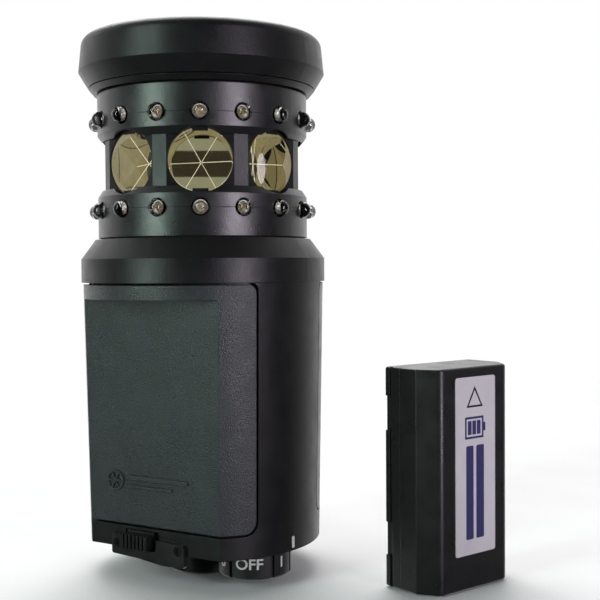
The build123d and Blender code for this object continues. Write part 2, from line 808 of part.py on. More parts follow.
# ---- prism cage and the eight prisms ----
cage_low_z = prism_z - aperture_radius - cage_margin
cage_high_z = 2 * prism_z - cage_low_z
skirt_low_z = ring_z + ring_floor
face_turn = first_prism_azimuth - 90 + 180 / prism_count
with BuildPart() as prism_cage:
    with BuildSketch(Plane.XY.offset(cage_low_z)):
        RegularPolygon(face_distance, prism_count, major_radius=False, rotation=face_turn)
        RegularPolygon(pillar_distance, prism_count, major_radius=False,
                       rotation=first_prism_azimuth - 90, mode=Mode.INTERSECT)
    extrude(amount=cage_high_z - cage_low_z)
    with BuildSketch(Plane.XY.offset(cage_low_z + cage_margin)):
        RegularPolygon(face_distance - cage_wall, prism_count, major_radius=False,
                       rotation=face_turn)
    extrude(amount=cage_high_z - cage_low_z - 2 * cage_margin, mode=Mode.SUBTRACT)
    with BuildSketch(Plane.XY.offset(skirt_low_z)):
        Circle(skirt_radius)
    extrude(amount=2 * (prism_z - skirt_low_z))
    with BuildSketch(Plane.XY.offset(skirt_low_z)):
        Circle(skirt_radius - skirt_wall)
    extrude(amount=2 * (prism_z - skirt_low_z), mode=Mode.SUBTRACT)
    with BuildSketch(Plane.XY.offset(cage_low_z + cage_margin)):
        RegularPolygon(face_distance - cage_wall, prism_count, major_radius=False,
                       rotation=face_turn)
    extrude(amount=cage_high_z - cage_low_z - 2 * cage_margin, mode=Mode.SUBTRACT)
    add(aperture_bores, mode=Mode.SUBTRACT)
prism_cage.part.label = "prism_cage"

glass_face = face_distance - glass_setback
cube_depth = glass_radius * sqrt(2) + glass_rim


def cube_edge(angle):
    """Edge of a corner cube whose diagonal is +Z, at an angle round it."""
    lean = sqrt(2 / 3)
    return Vector(lean * cos(radians(angle)), lean * sin(radians(angle)), sqrt(1 / 3))


with BuildPart() as corner_cube:
    with BuildSketch(Plane.XY):
        Circle(glass_radius)
    extrude(amount=-cube_depth)
    with Locations(Plane((0, 0, -cube_depth), x_dir=cube_edge(0), z_dir=cube_edge(240))):
        Box(40, 40, 40, align=(Align.MIN, Align.MIN, Align.MIN), mode=Mode.INTERSECT)
    chamfer(corner_cube.faces().sort_by(Axis.Z)[-1].edges(), 0.25)

prisms = {}
for number in range(prism_count):
    name = f"prism_{number + 1}"
    azimuth = first_prism_azimuth + 360 * number / prism_count
    with BuildPart() as prism:
        with Locations(radial_plane(azimuth, glass_face, prism_z)):
            add(corner_cube.part)
    prism.part.label = name
    prisms[name] = prism.part

# ---- upper half of the head ----
uppers = {}
for lower in (shoulder_seal, lower_led_housing, lower_led_cover, lower_led_board, lower_leds,
              lower_prism_clips):
    name = lower.part.label.replace("lower", "upper").replace("shoulder", "cap")
    with BuildPart() as upper:
        add(mirror(lower.part, about=head_mirror, mode=Mode.PRIVATE))
    upper.part.label = name
    uppers[name] = upper.part

# ---- centre tube and tie rods ----
with BuildPart() as centre_tube:
    with BuildSketch(Plane.XY.offset(cavity_top_z)):
        Circle(centre_tube_radius)
        Circle(centre_tube_radius - centre_tube_wall, mode=Mode.SUBTRACT)
    extrude(amount=head_top_z - cavity_top_z)
centre_tube.part.label = "centre_tube"

with BuildPart() as tie_rods:
    with BuildSketch(Plane.XY.offset(cavity_top_z)):
        with PolarLocations(tie_rod_distance, 4, start_angle=45):
            Circle(tie_rod_radius)
    extrude(amount=head_top_z + tie_nut_height + 0.6 - cavity_top_z)
tie_rods.part.label = "tie_rods"

with BuildPart() as tie_nuts:
    with BuildSketch(Plane.XY.offset(head_top_z)):
        with PolarLocations(tie_rod_distance, 4, start_angle=45):
            RegularPolygon(tie_nut_radius, 6)
            Circle(tie_rod_radius, mode=Mode.SUBTRACT)
    extrude(amount=tie_nut_height)
tie_nuts.part.label = "tie_nuts"

# ---- collar and cap ----
collar_bore = tie_rod_distance + tie_nut_radius + 3
with BuildPart() as cap_collar:
    add(turned([(collar_bore, collar_z), (collar_radius, collar_z),
                (collar_top_radius, cap_z - 0.3), (collar_top_radius - 0.8, cap_z),
                (collar_bore, cap_z)]))
    with Locations(Plane((0, 0, collar_z), z_dir=(0, 0, -1))):
        with PolarLocations(cap_screw_distance, 4):
            CounterBoreHole(1.3, 2.4, 1.0)
cap_collar.part.label = "cap_collar"

with BuildPart() as top_cap:
    with BuildSketch(Plane.XZ):
        with BuildLine():
            Polyline((0, cap_top_z), (cap_top_radius, cap_top_z), (cap_radius, cap_wide_z),
                     (collar_top_radius + 0.2, cap_z), (collar_top_radius - cap_wall, cap_z),
                     (cap_radius - cap_wall - 0.4, cap_wide_z),
                     (cap_top_radius - cap_wall - 0.4, cap_top_z - cap_wall - 0.4),
                     (0, cap_top_z - cap_wall - 0.4), close=True)
        make_face()
    revolve(axis=Axis.Z)
    fillet(top_cap.edges().group_by(Axis.Z)[-1], cap_edge_rounding)
    with BuildSketch(Plane.XY.offset(cap_z)):
        with PolarLocations(cap_screw_distance, 4):
            Circle(cap_boss_radius)
            Circle(1.2, mode=Mode.SUBTRACT)
    extrude(until=Until.NEXT)
top_cap.part.label = "top_cap"

with BuildPart() as cap_screws:
    with BuildSketch(Plane.XY.offset(collar_z + 0.1)):
        with PolarLocations(cap_screw_distance, 4):
            Circle(2.2)
    extrude(amount=0.9)
    with BuildSketch(Plane.XY.offset(collar_z + 1)):
        with PolarLocations(cap_screw_distance, 4):
            Circle(1.15)
    extrude(amount=7)
cap_screws.part.label = "cap_screws"

# ---- battery pack, standing beside the instrument ----
battery_frame = Plane((*battery_centre, 0), x_dir=(cos(radians(battery_turn)),
                                                   sin(radians(battery_turn)), 0),
                      z_dir=(0, 0, 1))
half_width = battery_width / 2
half_depth = battery_depth / 2


def battery_outline(inset):
    """Cross-section of the pack, bevelled on the label side, moved in by inset."""
    bevel_x = half_width - battery_bevel_across
    bevel_y = battery_bevel_deep - half_depth
    with BuildSketch(mode=Mode.PRIVATE) as outline:
        with BuildLine():
            Polyline((-half_width, half_depth), (-half_width, bevel_y), (-bevel_x, -half_depth),
                     (bevel_x, -half_depth), (half_width, bevel_y), (half_width, half_depth),
                     close=True)
        make_face()
        fillet(outline.vertices().sort_by(Axis.Y)[0:2], 3)
        fillet(outline.vertices().sort_by(Axis.Y)[-2:], 0.8)
        if inset:
            offset(amount=-inset, mode=Mode.REPLACE)
    return outline.sketch


def battery_block(inset):
    """The pack's outer block, or its hollow when inset is the case wall."""
    with BuildPart() as block:
        with BuildSketch(battery_frame.offset(inset)):
            add(battery_outline(inset))
        extrude(amount=battery_height - 2 * inset)
        if not inset:
            fillet(block.faces().sort_by(Axis.Z)[-1].edges(), 0.9)
            fillet(block.faces().sort_by(Axis.Z)[0].edges(), 0.9)
    return block.part


seam_plane = Plane(battery_frame.from_local_coords((0, battery_seam, 0)),
                   x_dir=battery_frame.x_dir, z_dir=battery_frame.y_dir)
with BuildPart() as battery_case_front:
    add(battery_block(0))
    add(battery_block(battery_case_wall), mode=Mode.SUBTRACT)
    split(bisect_by=seam_plane, keep=Keep.BOTTOM)
    with BuildSketch(seam_plane.offset(-(battery_seam + half_depth) - 1)):
        with Locations((label_shift, -label_middle)):
            RectangleRounded(label_width + 2 * label_gap, label_height + 2 * label_gap, 1)
    extrude(amount=1 + label_thickness - 0.02, mode=Mode.SUBTRACT)
battery_case_front.part.label = "battery_case_front"

contact_places = [(-9, 6), (-3, 6), (3, 6), (9, 6)]
back_plane = Plane(battery_frame.from_local_coords((0, half_depth, 0)),
                   x_dir=-battery_frame.x_dir, z_dir=battery_frame.y_dir)
with BuildPart() as battery_case_back:
    add(battery_block(0))
    add(battery_block(battery_case_wall), mode=Mode.SUBTRACT)
    split(bisect_by=seam_plane, keep=Keep.TOP)
    for side in (-1, 1):
        with BuildSketch(battery_frame):
            with Locations((side * half_width, half_depth - battery_rail - 0.6)):
                Rectangle(1.4, 1.2)
        extrude(amount=battery_height, mode=Mode.SUBTRACT)
        for low, high in battery_notches:
            with BuildSketch(battery_frame.offset(low)):
                with Locations((side * half_width, half_depth)):
                    Rectangle(2.2, 2 * battery_rail)
            extrude(amount=high - low, mode=Mode.SUBTRACT)
    with BuildSketch(back_plane.offset(-0.6)):
        with Locations(*contact_places):
            Rectangle(3.2, 6.2)
    extrude(amount=1, mode=Mode.SUBTRACT)
battery_case_back.part.label = "battery_case_back"

with BuildPart() as battery_contacts:
    with BuildSketch(back_plane.offset(-0.6)):
        with Locations(*contact_places):
            Rectangle(3, 6)
    extrude(amount=0.4)
battery_contacts.part.label = "battery_contacts"

with BuildPart() as battery_label:
    with BuildSketch(seam_plane.offset(-(battery_seam + half_depth) - 0.02)):
        with Locations((label_shift, -label_middle)):
            RectangleRounded(label_width, label_height, 0.9)
    extrude(amount=label_thickness)
battery_label.part.label = "battery_label"

with BuildPart() as battery_cells:
    with BuildSketch(battery_frame.offset((battery_height - cell_length) / 2)):
        with Locations((-cell_radius - 0.05, 0), (cell_radius + 0.05, 0)):
            Circle(cell_radius)
    extrude(amount=cell_length)
battery_cells.part.label = "battery_cells"

# ---- every piece to its own file ----
pieces = [
    main_housing, index_mark, rear_cover, rear_cover_screws, battery_door, door_hinge_pin,
    door_seal, base_plate, base_screws, pole_socket, selector_knob, switch_shaft, knob_screw,
    rotary_switch, latch_plate, latch_screws, latch_slider, battery_bay, bay_contacts,
    main_board, board_components, shoulder_seal, lower_led_housing, lower_led_cover,
    lower_led_board, lower_leds, lower_prism_clips, prism_cage, centre_tube, tie_rods,
    tie_nuts, cap_collar, top_cap, cap_screws, battery_case_front, battery_case_back,
    battery_contacts, battery_label, battery_cells,
]
for piece in pieces:
    export_step(piece.part, f"parts/{piece.part.label}.step")
for name, solid in {**uppers, **prisms}.items():
    export_step(solid, f"parts/{name}.step")
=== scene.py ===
from math import cos, degrees, radians, sin, sqrt, tau

import bmesh
import bpy
from mathutils import Matrix, Vector


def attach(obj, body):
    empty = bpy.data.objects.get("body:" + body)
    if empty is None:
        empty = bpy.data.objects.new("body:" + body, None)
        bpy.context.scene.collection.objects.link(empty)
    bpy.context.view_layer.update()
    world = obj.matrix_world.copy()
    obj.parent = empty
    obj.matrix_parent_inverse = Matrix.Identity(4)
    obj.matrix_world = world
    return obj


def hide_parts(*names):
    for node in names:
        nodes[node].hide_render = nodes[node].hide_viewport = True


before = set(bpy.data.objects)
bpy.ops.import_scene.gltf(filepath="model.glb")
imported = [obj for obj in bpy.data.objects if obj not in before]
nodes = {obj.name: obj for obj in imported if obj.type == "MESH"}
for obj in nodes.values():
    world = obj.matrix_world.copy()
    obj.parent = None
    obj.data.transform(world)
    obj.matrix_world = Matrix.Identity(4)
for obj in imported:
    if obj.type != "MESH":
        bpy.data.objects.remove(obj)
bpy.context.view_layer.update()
mm = 0.001

# Sizes of the CAD model that the pieces below are built to, in millimetres.
first_prism_azimuth = 34.5
prism_count = 8
prism_height = 136.7
glass_face = 31.6
glass_radius = 10.2
glass_rim = 0.8
glass_apex = glass_face - (glass_radius * sqrt(2) + glass_rim)
diode_count = 16
diode_heights = {"lower": 121.8, "upper": 151.6}
diode_tip = 38.7
diode_radius = 2.5
diode_length = 8.6
door_flat_foot = Vector((0, -29.0, 11.0))
door_flat_slope = 1 / 60
knob_centre = Vector((24.608, -7.056, 0))
knob_radius = 12.0
knob_off_azimuth = 27.5
knob_words = ("OFF", "1", "2", "3", "4", "5", "6")
battery_middle = Vector((81.67, 22.57, 35.4))
battery_angle = 70.0
battery_half_depth = 10.3

# The direction that the camera looks from.
camera_azimuth = 30.98


# ---------------------------------------------------------------- materials

def shader(name):
    material = bpy.data.materials.new(name)
    material.use_nodes = True
    tree = material.node_tree
    return material, tree, tree.nodes["Principled BSDF"]


def node(tree, kind, **inputs):
    made = tree.nodes.new(kind)
    for key, value in inputs.items():
        made.inputs[key.replace("_", " ")].default_value = value
    return made


def noise(tree, size_mm, detail=2.0, roughness=0.5, stretch=(1, 1, 1)):
    where = tree.nodes.new("ShaderNodeTexCoord")
    mapping = node(tree, "ShaderNodeMapping", Scale=stretch)
    made = node(tree, "ShaderNodeTexNoise", Scale=1 / (size_mm * mm), Detail=detail,
                Roughness=roughness)
    tree.links.new(where.outputs["Object"], mapping.inputs["Vector"])
    tree.links.new(mapping.outputs["Vector"], made.inputs["Vector"])
    return made.outputs["Fac"]


def remap(tree, source, low, high, to_low, to_high):
    made = tree.nodes.new("ShaderNodeMapRange")
    made.inputs["From Min"].default_value = low
    made.inputs["From Max"].default_value = high
    made.inputs["To Min"].default_value = to_low
    made.inputs["To Max"].default_value = to_high
    tree.links.new(source, made.inputs["Value"])
    return made.outputs["Result"]


def blend_colours(tree, amount, first, second):
    made = tree.nodes.new("ShaderNodeMix")
    made.data_type = "RGBA"
    made.inputs["A"].default_value = (*first, 1)
    made.inputs["B"].default_value = (*second, 1)
    tree.links.new(amount, made.inputs["Factor"])
    return made.outputs["Result"]


def bumps(tree, target, layers, edge_mm=0.0):
    """Stacks bump layers of (height source, depth in mm) on rounded-looking edges."""
    normal = None
    if edge_mm:
        bevel = tree.nodes.new("ShaderNodeBevel")
        bevel.samples = 4
        bevel.inputs["Radius"].default_value = edge_mm * mm
        normal = bevel.outputs["Normal"]
    for source, depth in layers:
        bump = node(tree, "ShaderNodeBump", Distance=depth * mm)
        tree.links.new(source, bump.inputs["Height"])
        if normal is not None:
            tree.links.new(normal, bump.inputs["Normal"])
        normal = bump.outputs["Normal"]
    tree.links.new(normal, target.inputs["Normal"])


housing_tones = (0.0060, 0.0060, 0.0066), (0.0085, 0.0082, 0.0090)


def moulded(name, dark, light, roughness, grain_mm, grain_depth, edge_mm=0.25, level=0.5,
            spread=0.08):
    """Moulded plastic: mottled colour, a grain in the surface and uneven gloss."""
    material, tree, surface = shader(name)
    grain = noise(tree, grain_mm, 2.5, 0.6)
    broad = noise(tree, 14, 3)
    mottle = tree.nodes.new("ShaderNodeMath")
    mottle.operation = "MULTIPLY_ADD"
    mottle.use_clamp = True
    mottle.inputs[1].default_value = 0.5
    tree.links.new(remap(tree, broad, 0.35, 0.65, 0, 1), mottle.inputs[0])
    tree.links.new(remap(tree, grain, 0.35, 0.65, 0, 0.5), mottle.inputs[2])
    tone = blend_colours(tree, mottle.outputs["Value"], dark, light)
    tree.links.new(tone, surface.inputs["Base Color"])
    gloss = tree.nodes.new("ShaderNodeMath")
    gloss.operation = "ADD"
    tree.links.new(remap(tree, noise(tree, 6, 4), 0.3, 0.7, roughness - spread,
                         roughness + spread), gloss.inputs[0])
    tree.links.new(remap(tree, grain, 0.3, 0.7, -spread / 2, spread / 2), gloss.inputs[1])
    tree.links.new(gloss.outputs["Value"], surface.inputs["Roughness"])
    surface.inputs["Specular IOR Level"].default_value = level
    bumps(tree, surface, [(noise(tree, 5, 1), 0.006), (grain, grain_depth)], edge_mm)
    return material


def black_housing():
    return moulded("black housing", *housing_tones, 0.36, 0.38, 0.060, edge_mm=0.3, level=0.42,
                   spread=0.05)


def black_ring():
    """The diode rings' plastic, which is glossier than the housing's."""
    return moulded("black ring", *housing_tones, 0.32, 0.38, 0.060, edge_mm=0.3, level=0.90,
                   spread=0.05)


def grey_cover():
    return moulded("grey cover", (0.0200, 0.0245, 0.0258), (0.0315, 0.0370, 0.0390), 0.32, 0.42,
                   0.150, edge_mm=0.5, level=0.45, spread=0.06)


def black_trim():
    return moulded("black trim", (0.007, 0.007, 0.0075), (0.011, 0.011, 0.012), 0.36, 0.35,
                   0.014, edge_mm=0.2)


def knob_black():
    return moulded("knob black", (0.010, 0.010, 0.011), (0.015, 0.015, 0.016), 0.45, 0.5,
                   0.020, edge_mm=0.25)


def battery_plastic():
    return moulded("battery plastic", (0.0105, 0.0105, 0.011), (0.016, 0.0155, 0.016), 0.34,
                   0.30, 0.010, edge_mm=0.45)


def bay_plastic():
    return moulded("bay plastic", (0.012, 0.012, 0.013), (0.017, 0.017, 0.018), 0.5, 0.5,
                   0.02)


def rubber():
    return moulded("seal rubber", (0.006, 0.006, 0.006), (0.010, 0.010, 0.010), 0.72, 0.7,
                   0.012, level=0.35)


def white_paint():
    material, tree, surface = shader("white paint")
    wear = remap(tree, noise(tree, 0.35, 3), 0.30, 0.42, 0, 1)
    tone = blend_colours(tree, wear, (0.30, 0.30, 0.29), (0.62, 0.62, 0.60))
    tree.links.new(tone, surface.inputs["Base Color"])
    tree.links.new(remap(tree, noise(tree, 1.2), 0.3, 0.7, 0.42, 0.6),
                   surface.inputs["Roughness"])
    bumps(tree, surface, [(noise(tree, 0.3), 0.010)])
    return material


def metal(name, colour, roughness, brushed=(1, 1, 1), spread=0.08):
    material, tree, surface = shader(name)
    surface.inputs["Metallic"].default_value = 1.0
    lines = noise(tree, 0.4, 3, 0.6, brushed)
    shade = tuple(value * 0.78 for value in colour)
    tone = blend_colours(tree, remap(tree, noise(tree, 4, 3), 0.35, 0.65, 0, 1), shade, colour)
    tree.links.new(tone, surface.inputs["Base Color"])
    tree.links.new(remap(tree, lines, 0.3, 0.7, roughness - spread, roughness + spread),
                   surface.inputs["Roughness"])
    bumps(tree, surface, [(lines, 0.006)], 0.08)
    return material


def dark_screw():
    return metal("dark screw", (0.055, 0.052, 0.050), 0.34)


def steel():
    return metal("steel", (0.56, 0.55, 0.53), 0.28, (1, 1, 0.1))


def socket_black():
    return metal("anodised socket", (0.030, 0.030, 0.032), 0.36, (0.15, 0.15, 1))


def tube_aluminium():
    return metal("aluminium tube", (0.62, 0.62, 0.63), 0.30, (1, 1, 0.05))


def contact_gold():
    return metal("contact gold", (0.86, 0.62, 0.26), 0.22)


def circuit_board():
    material, tree, surface = shader("circuit board")
    weave = tree.nodes.new("ShaderNodeTexWave")
    weave.inputs["Scale"].default_value = 900
    weave.inputs["Distortion"].default_value = 0.6
    where = tree.nodes.new("ShaderNodeTexCoord")
    tree.links.new(where.outputs["Object"], weave.inputs["Vector"])
    tracks = remap(tree, noise(tree, 3.0, 1), 0.48, 0.52, 0, 1)
    tone = blend_colours(tree, tracks, (0.010, 0.085, 0.035), (0.018, 0.13, 0.055))
    tree.links.new(tone, surface.inputs["Base Color"])
    tree.links.new(remap(tree, tracks, 0, 1, 0.45, 0.3), surface.inputs["Roughness"])
    bumps(tree, surface, [(weave.outputs["Fac"], 0.008), (tracks, 0.02)])
    return material


def component_black():
    return moulded("component black", (0.014, 0.014, 0.015), (0.028, 0.028, 0.03), 0.55, 0.4,
                   0.015, edge_mm=0.1)


def cell_wrap():
    return moulded("cell wrap", (0.03, 0.11, 0.30), (0.05, 0.15, 0.36), 0.30, 0.8, 0.008,
                   edge_mm=0.2)


def label_paper():
    material, tree, surface = shader("label film")
    fine = noise(tree, 0.25, 2)
    tone = blend_colours(tree, remap(tree, noise(tree, 9, 3), 0.35, 0.65, 0, 1),
                         (0.53, 0.515, 0.54), (0.56, 0.545, 0.57))
    tree.links.new(tone, surface.inputs["Base Color"])
    tree.links.new(remap(tree, fine, 0.3, 0.7, 0.38, 0.5), surface.inputs["Roughness"])
    bumps(tree, surface, [(fine, 0.004), (noise(tree, 4, 1), 0.01)], 0.1)
    return material


def label_ink(name, colour):
    material, tree, surface = shader(name)
    fine = noise(tree, 0.2, 2)
    lighter = tuple(value * 1.35 for value in colour)
    tone = blend_colours(tree, remap(tree, fine, 0.4, 0.7, 0, 1), colour, lighter)
    tree.links.new(tone, surface.inputs["Base Color"])
    tree.links.new(remap(tree, fine, 0.3, 0.7, 0.36, 0.48), surface.inputs["Roughness"])
    bumps(tree, surface, [(fine, 0.003)])
    return material


def clear_epoxy():
    material, tree, surface = shader("clear epoxy")
    surface.inputs["Base Color"].default_value = (0.98, 0.98, 0.97, 1)
    surface.inputs["Transmission Weight"].default_value = 1.0
    surface.inputs["IOR"].default_value = 1.53
    smear = noise(tree, 1.1, 2)
    tree.links.new(remap(tree, smear, 0.3, 0.7, 0.0, 0.05), surface.inputs["Roughness"])
    bumps(tree, surface, [(smear, 0.004)])
    return material


def prism_glass():
    material, tree, surface = shader("prism glass")
    surface.inputs["Base Color"].default_value = (0.97, 0.98, 0.95, 1)
    surface.inputs["Transmission Weight"].default_value = 1.0
    surface.inputs["IOR"].default_value = 1.52
    smear = noise(tree, 5, 2)
    tree.links.new(remap(tree, smear, 0.45, 0.8, 0.0, 0.03), surface.inputs["Roughness"])
    return material


def mirror_gold():
    material, tree, surface = shader("mirror gold")
    surface.inputs["Metallic"].default_value = 1.0
    tone = blend_colours(tree, remap(tree, noise(tree, 6, 2), 0.35, 0.65, 0, 1),
                         (0.90, 0.885, 0.73), (0.93, 0.915, 0.77))
    tree.links.new(tone, surface.inputs["Base Color"])
    tree.links.new(remap(tree, noise(tree, 0.8, 2), 0.3, 0.7, 0.0, 0.02),
                   surface.inputs["Roughness"])
    return material


def ground_rim_painted_glow():
    """The finely ground round side of a prism, given a painted glow that stands in for the light
    in the glass.
    """
    material, tree, surface = shader("ground rim with painted glow")
    fine = noise(tree, 0.5, 2)
    broad = remap(tree, noise(tree, 5, 2), 0.35, 0.65, 0, 1)
    tone = blend_colours(tree, broad, (0.36, 0.33, 0.18), (0.50, 0.47, 0.28))
    tree.links.new(tone, surface.inputs["Base Color"])
    # Painted glow: this emission stands in for light carried through the glass. The rim is no
    # lamp.
    surface.inputs["Emission Color"].default_value = (0.200, 0.172, 0.122, 1)
    surface.inputs["Emission Strength"].default_value = 1.0
    tree.links.new(remap(tree, fine, 0.3, 0.7, 0.5, 0.75), surface.inputs["Roughness"])
    bumps(tree, surface, [(fine, 0.01)])
    return material


def ground_edge_painted_glow():
    material, tree, surface = shader("ground edge with painted glow")
    fine = noise(tree, 0.3, 2)
    tone = blend_colours(tree, fine, (0.80, 0.76, 0.60), (0.95, 0.92, 0.80))
    tree.links.new(tone, surface.inputs["Base Color"])
    # Painted glow: this emission makes the bevels show as bright lines. They are no lamps.
    surface.inputs["Emission Color"].default_value = (0.95, 0.90, 0.72, 1)
    surface.inputs["Emission Strength"].default_value = 0.7
    tree.links.new(remap(tree, fine, 0.3, 0.7, 0.5, 0.7), surface.inputs["Roughness"])
    return material


def dress(materials):
    """Gives every carried-over CAD node its finish."""
    for names, make in materials.items():
        material = make()
        for name in names.split():
            mesh = nodes[name].data
            mesh.materials.clear()
            mesh.materials.append(material)


dress({
    "main_housing base_plate prism_cage top_cap cap_collar": black_housing,
    "lower_led_housing lower_led_cover upper_led_housing upper_led_cover": black_ring,
    "battery_door rear_cover": grey_cover,
    "latch_plate latch_slider lower_prism_clips upper_prism_clips": black_trim,
    "selector_knob": knob_black,
    "battery_case_front battery_case_back": battery_plastic,
    "battery_bay rotary_switch": bay_plastic,
    "door_seal shoulder_seal cap_seal": rubber,
    "index_mark": white_paint,
    "rear_cover_screws base_screws latch_screws cap_screws knob_screw": dark_screw,
    "door_hinge_pin switch_shaft tie_rods tie_nuts": steel,
    "pole_socket": socket_black,
    "centre_tube": tube_aluminium,
    "bay_contacts battery_contacts": contact_gold,
    "main_board lower_led_board upper_led_board": circuit_board,
    "board_components": component_black,
    "battery_cells": cell_wrap,
    "battery_label": label_paper,
})


# ------------------------------------------------------------------- pieces

def outward(azimuth):
    """The horizontal direction at an azimuth, which counts from -Y towards +X."""
    return Vector((sin(radians(azimuth)), -cos(radians(azimuth)), 0))


def radial_frame(azimuth, height_mm):
    """Local x follows rising azimuth, local y goes up and local z goes outward."""
    out = outward(azimuth)
    across = Vector((cos(radians(azimuth)), sin(radians(azimuth)), 0))
    turn = Matrix((across, Vector((0, 0, 1)), out)).transposed().to_4x4()
    return Matrix.Translation((0, 0, height_mm * mm)) @ turn @ Matrix.Scale(mm, 4)


def piece(name, mesh_data, material, body, smooth_angle=35):
    made = bpy.data.objects.new(name, mesh_data)
    bpy.context.scene.collection.objects.link(made)
    for one in material if isinstance(material, list) else [material]:
        mesh_data.materials.append(one)
    mesh_data.set_sharp_from_angle(angle=radians(smooth_angle))
    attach(made, body)
    return made


def to_mesh(name, shape):
    bmesh.ops.recalc_face_normals(shape, faces=shape.faces)
    mesh_data = bpy.data.meshes.new(name)
    shape.to_mesh(mesh_data)
    shape.free()
    for face in mesh_data.polygons:
        face.use_smooth = True
    return mesh_data


def lathe(shape, place, profile, steps=40, material=0):
    """Turns a profile of (radius, along) pairs round local z, closing it at radius 0."""
    rings = []
    for radius, along in profile:
        if radius == 0:
            rings.append([shape.verts.new(place @ Vector((0, 0, along)))])
        else:
            rings.append([shape.verts.new(place @ Vector((radius * cos(tau * step / steps),
                                                          radius * sin(tau * step / steps),
                                                          along)))
                          for step in range(steps)])
    for first, second in zip(rings, rings[1:]):
        for step in range(steps):
            after = (step + 1) % steps
            corners = []
            for vertex in (first[step % len(first)], first[after % len(first)],
                           second[after % len(second)], second[step % len(second)]):
                if vertex not in corners:
                    corners.append(vertex)
            shape.faces.new(corners).material_index = material


def box(shape, place, low, high, material=0, chamfer=0.0):
    """A block between two local corners, with its edges cut by the chamfer."""
    sides = [(high[i] - low[i]) for i in range(3)]
    centre = Vector([(high[i] + low[i]) / 2 for i in range(3)])
    made = bmesh.ops.create_cube(shape, size=1)["verts"]
    for vertex in made:
        vertex.co = Vector([vertex.co[i] * sides[i] for i in range(3)]) + centre
    faces = {face for vertex in made for face in vertex.link_faces}
    for face in faces:
        face.material_index = material
    if chamfer:
        edges = list({edge for vertex in made for edge in vertex.link_edges})
        done = bmesh.ops.bevel(shape, geom=edges, offset=chamfer, segments=2,
                               affect="EDGES", profile=0.5)
        made = list({vertex for face in done["faces"] for vertex in face.verts}
                    | {vertex for vertex in made if vertex.is_valid})
        for face in done["faces"]:
            face.material_index = material
    for vertex in made:
        vertex.co = place @ vertex.co


def diode_places(height):
    """The frames of one ring's diodes, each pointing outward."""
    return [radial_frame(index * 360 / diode_count + first_prism_azimuth, height)
            for index in range(diode_count)]


def diode_lenses(height):
    """The clear bullets of one ring of diodes: a dome, a barrel and a foot rim."""
    shape = bmesh.new()
    dome = diode_tip - diode_radius
    rear = diode_tip - diode_length
    foot_radius = 2.85
    dome_steps = 12
    profile = [(0, diode_tip)]
    for step in range(1, dome_steps + 1):
        angle = radians(90 * step / dome_steps)
        profile.append((diode_radius * sin(angle), dome + diode_radius * cos(angle)))
    profile += [(diode_radius, rear + 1.1), (2.6, rear + 1.0), (foot_radius, rear + 0.95),
                (foot_radius, rear + 0.05), (2.8, rear), (0, rear)]
    for place in diode_places(height):
        lathe(shape, place, profile, 48)
    return to_mesh("lenses", shape)


def diode_insides(height):
    """What the clear epoxy holds: a reflector cup on its post, a die, an anvil and a wire."""
    shape = bmesh.new()
    silver, gold = 0, 1
    rim = diode_tip - 3.55
    leads_foot = rim - 5.0
    turn_between = 37
    wire_steps = 8
    cup = [(0, rim - 0.75), (0.55, rim - 0.72), (0.98, rim), (1.12, rim), (1.12, rim - 0.15),
           (0.85, rim - 1.15), (0, rim - 1.2)]
    wire = [Vector((0.05 + 1.5 * t, 0, rim - 0.5 + 1.9 * t * (1 - t) + 0.15 * t))
            for t in [step / wire_steps for step in range(wire_steps + 1)]]
    for index, place in enumerate(diode_places(height)):
        place = place @ Matrix.Rotation(radians(turn_between * index), 4, "Z")
        lathe(shape, place, cup, 28, silver)
        box(shape, place, (-0.22, -0.22, rim - 0.74), (0.22, 0.22, rim - 0.5), gold)
        box(shape, place, (-0.55, -0.25, leads_foot), (0.35, 0.25, rim - 1.0), silver, 0.06)
        box(shape, place, (1.25, -0.25, leads_foot), (1.95, 0.25, rim - 0.35), silver, 0.06)
        for start, end in zip(wire, wire[1:]):
            box(shape, place, (start.x, -0.04, min(start.z, end.z) - 0.03),
                (end.x + 0.02, 0.04, max(start.z, end.z) + 0.03), gold)
    return to_mesh("insides", shape)


def add_diodes():
    epoxy = clear_epoxy()
    inside = [metal("reflector cup", (0.86, 0.84, 0.80), 0.12, spread=0.04), contact_gold()]
    for ring, height in diode_heights.items():
        lenses = piece(f"{ring}_diode_lenses", diode_lenses(height), epoxy, "instrument")
        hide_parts(f"{ring}_leds")
        piece(f"{ring}_diode_insides", diode_insides(height), inside, "instrument",
              30)


def corner_cube(place):
    """A glass corner cube: polished front, ground rim, three mirrored faces behind."""
    shape = bmesh.new()
    glass, mirror, rim = 0, 1, 2
    steps = 96
    chamfer = 0.2
    facing = [radians(0), radians(120), radians(240)]

    def rear(x, y):
        return glass_apex + sqrt(2) * max(-(x * cos(a) + y * sin(a)) for a in facing)

    def ring(radius, along=None):
        made = []
        for step in range(steps):
            angle = tau * step / steps
            x, y = radius * cos(angle), radius * sin(angle)
            z = rear(x, y) if along is None else along
            made.append(shape.verts.new(place @ Vector((x, y, z))))
        return made

    front_edge = ring(glass_radius - chamfer, glass_face)
    front_rim = ring(glass_radius, glass_face - chamfer)
    back_rim = ring(glass_radius)
    tip = shape.verts.new(place @ Vector((0, 0, glass_apex)))
    shape.faces.new(front_edge).material_index = glass
    for step in range(steps):
        after = (step + 1) % steps
        for first, second, finish in ((front_edge, front_rim, glass),
                                      (front_rim, back_rim, rim)):
            shape.faces.new((first[step], first[after], second[after],
                             second[step])).material_index = finish
        shape.faces.new((back_rim[step], back_rim[after], tip)).material_index = mirror
    return to_mesh("corner cube", shape)


